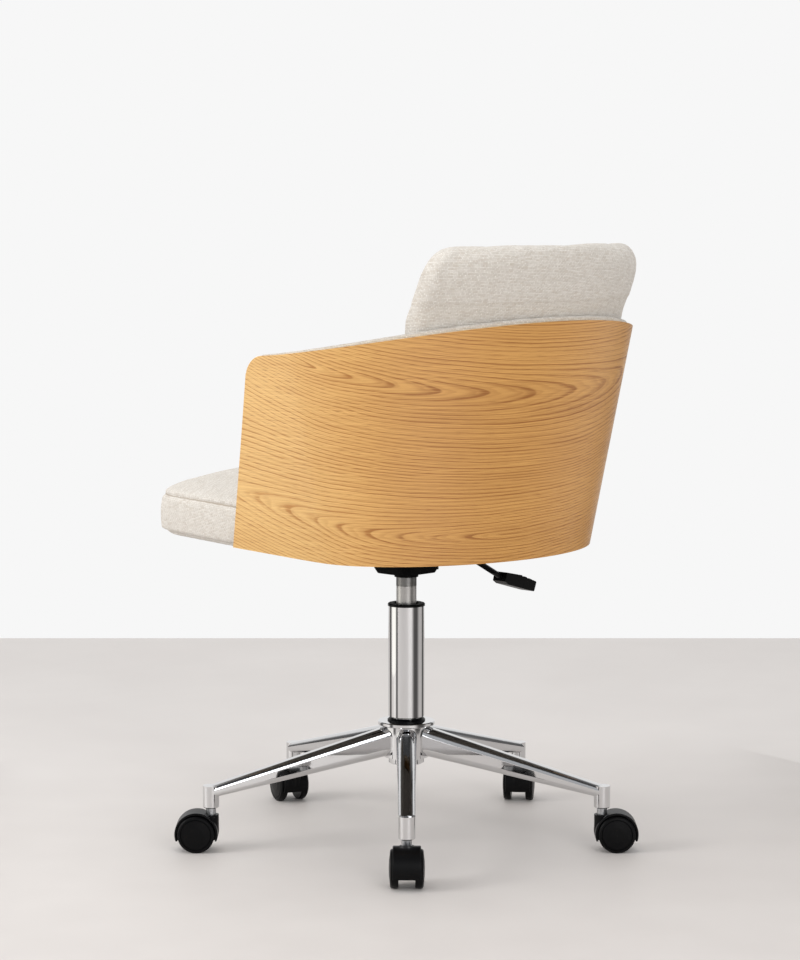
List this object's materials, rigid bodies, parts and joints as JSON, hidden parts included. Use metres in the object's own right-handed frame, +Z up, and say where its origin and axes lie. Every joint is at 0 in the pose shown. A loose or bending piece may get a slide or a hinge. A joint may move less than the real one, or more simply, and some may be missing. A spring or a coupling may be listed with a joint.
{
  "type": "desk_chair",
  "caption": "Swivel desk chair: oak veneer tub shell, oatmeal fabric seat and back cushions, chrome gas column, star base on twin-wheel castors.",
  "frame": {"origin": "on the column axis at floor level", "axes": "+Z up, the sitter faces -Y, +X is the sitter's left"},
  "size_m": [0.6197, 0.643, 0.82],
  "materials": {
    "chrome": "mirror chrome plate",
    "cylinder_steel": "dark satin ground steel",
    "black_plastic": "satin black moulded nylon",
    "zinc_steel": "zinc plated steel",
    "black_steel": "black powder coat",
    "rubber": "matt black rubber",
    "veneer": "clear satin lacquer on oak veneer, pale core at the edges",
    "plywood": "bare plywood",
    "upholstery": "coarse oatmeal weave"
  },
  "bodies": {
    "base": {"base_hub": "chrome", "base_leg_1": "chrome", "base_leg_2": "chrome", "base_leg_3": "chrome", "base_leg_4": "chrome", "base_leg_5": "chrome", "column_tube": "chrome", "column_foot_ring": "black_plastic", "column_collar": "black_plastic", "guide_bush": "black_plastic", "bearing_lower_race": "zinc_steel", "bearing_ball_cage": "zinc_steel", "castor_1_stem": "zinc_steel", "castor_2_stem": "zinc_steel", "castor_3_stem": "zinc_steel", "castor_4_stem": "zinc_steel", "castor_5_stem": "zinc_steel"},
    "spindle": {"bearing_upper_race": "zinc_steel", "piston_rod": "cylinder_steel", "piston": "black_plastic", "bumper": "rubber", "rod_clip": "zinc_steel"},
    "seat": {"gas_cylinder": "cylinder_steel", "cylinder_gland": "black_plastic", "swivel_plate": "black_steel", "plate_bolts": "zinc_steel", "tee_nuts": "zinc_steel", "lever_pivot_pin": "zinc_steel", "seat_board": "plywood", "seat_cushion": "upholstery", "shell": "veneer", "shell_lining": "upholstery", "shell_brackets": "zinc_steel", "board_screws": "zinc_steel", "shell_screws": "zinc_steel", "back_cushion": "upholstery"},
    "lever": {"lever_rod": "black_steel", "lever_grip": "black_plastic"},
    "valve_pin": {"release_pin": "zinc_steel"},
    "castor_1": {"castor_1_housing": "black_plastic", "castor_1_axle": "zinc_steel"},
    "castor_1_left": {"castor_1_wheel_left": "black_plastic"},
    "castor_1_right": {"castor_1_wheel_right": "black_plastic"},
    "castor_2": {"castor_2_housing": "black_plastic", "castor_2_axle": "zinc_steel"},
    "castor_2_left": {"castor_2_wheel_left": "black_plastic"},
    "castor_2_right": {"castor_2_wheel_right": "black_plastic"},
    "castor_3": {"castor_3_housing": "black_plastic", "castor_3_axle": "zinc_steel"},
    "castor_3_left": {"castor_3_wheel_left": "black_plastic"},
    "castor_3_right": {"castor_3_wheel_right": "black_plastic"},
    "castor_4": {"castor_4_housing": "black_plastic", "castor_4_axle": "zinc_steel"},
    "castor_4_left": {"castor_4_wheel_left": "black_plastic"},
    "castor_4_right": {"castor_4_wheel_right": "black_plastic"},
    "castor_5": {"castor_5_housing": "black_plastic", "castor_5_axle": "zinc_steel"},
    "castor_5_left": {"castor_5_wheel_left": "black_plastic"},
    "castor_5_right": {"castor_5_wheel_right": "black_plastic"}
  },
  "joints": [
    {"name": "seat_swivel", "type": "hinge", "parent": "base", "child": "spindle", "pos_m": [0, 0, 0.115], "axis": [0, 0, 1], "continuous": true},
    {"name": "height_lift", "type": "slide", "parent": "spindle", "child": "seat", "axis": [0, 0, 1], "range_m": [-0.036, 0.055]},
    {"name": "lever_tilt", "type": "hinge", "parent": "seat", "child": "lever", "pos_m": [-0.044, 0, 0.4005], "axis": [0, 1, 0], "range_deg": [0, 5], "stiffness_Nm_per_rad": 6, "springref_deg": -3.44},
    {"name": "release_pin_travel", "type": "slide", "parent": "seat", "child": "valve_pin", "axis": [0, 0, -1], "range_m": [0, 0.004]},
    {"name": "castor_1_swivel", "type": "hinge", "parent": "base", "child": "castor_1", "pos_m": [0.19998, 0.19312, 0.05], "axis": [0, 0, 1], "continuous": true},
    {"name": "castor_1_left_roll", "type": "hinge", "parent": "castor_1", "child": "castor_1_left", "pos_m": [0.214, 0.20666, 0.025], "axis": [-0.6947, 0.7193, 0], "continuous": true},
    {"name": "castor_1_right_roll", "type": "hinge", "parent": "castor_1", "child": "castor_1_right", "pos_m": [0.214, 0.20666, 0.025], "axis": [-0.6947, 0.7193, 0], "continuous": true},
    {"name": "castor_2_swivel", "type": "hinge", "parent": "base", "child": "castor_2", "pos_m": [-0.12187, 0.24987, 0.05], "axis": [0, 0, 1], "continuous": true},
    {"name": "castor_2_left_roll", "type": "hinge", "parent": "castor_2", "child": "castor_2_left", "pos_m": [-0.13541, 0.26389, 0.025], "axis": [-0.7193, -0.6947, 0], "continuous": true},
    {"name": "castor_2_right_roll", "type": "hinge", "parent": "castor_2", "child": "castor_2_right", "pos_m": [-0.13541, 0.26389, 0.025], "axis": [-0.7193, -0.6947, 0], "continuous": true},
    {"name": "castor_3_swivel", "type": "hinge", "parent": "base", "child": "castor_3", "pos_m": [-0.2753, -0.03869, 0.05], "axis": [0, 0, 1], "continuous": true},
    {"name": "castor_3_left_roll", "type": "hinge", "parent": "castor_3", "child": "castor_3_left", "pos_m": [-0.29066, -0.0507, 0.025], "axis": [0.6157, -0.788, 0], "continuous": true},
    {"name": "castor_3_right_roll", "type": "hinge", "parent": "castor_3", "child": "castor_3_right", "pos_m": [-0.29066, -0.0507, 0.025], "axis": [0.6157, -0.788, 0], "continuous": true},
    {"name": "castor_4_swivel", "type": "hinge", "parent": "base", "child": "castor_4", "pos_m": [-0.04827, -0.27378, 0.05], "axis": [0, 0, 1], "continuous": true},
    {"name": "castor_4_left_roll", "type": "hinge", "parent": "castor_4", "child": "castor_4_left", "pos_m": [-0.05558, -0.29186, 0.025], "axis": [0.9272, -0.3746, 0], "continuous": true},
    {"name": "castor_4_right_roll", "type": "hinge", "parent": "castor_4", "child": "castor_4_right", "pos_m": [-0.05558, -0.29186, 0.025], "axis": [0.9272, -0.3746, 0], "continuous": true},
    {"name": "castor_5_swivel", "type": "hinge", "parent": "base", "child": "castor_5", "pos_m": [0.24546, -0.13051, 0.05], "axis": [0, 0, 1], "continuous": true},
    {"name": "castor_5_left_roll", "type": "hinge", "parent": "castor_5", "child": "castor_5_left", "pos_m": [0.259, -0.14454, 0.025], "axis": [0.7193, 0.6947, 0], "continuous": true},
    {"name": "castor_5_right_roll", "type": "hinge", "parent": "castor_5", "child": "castor_5_right", "pos_m": [0.259, -0.14454, 0.025], "axis": [0.7193, 0.6947, 0], "continuous": true}
  ],
  "couplings": [
    {"joint": "release_pin_travel", "follows": "lever_tilt", "m_per_rad": 0.044}
  ]
}
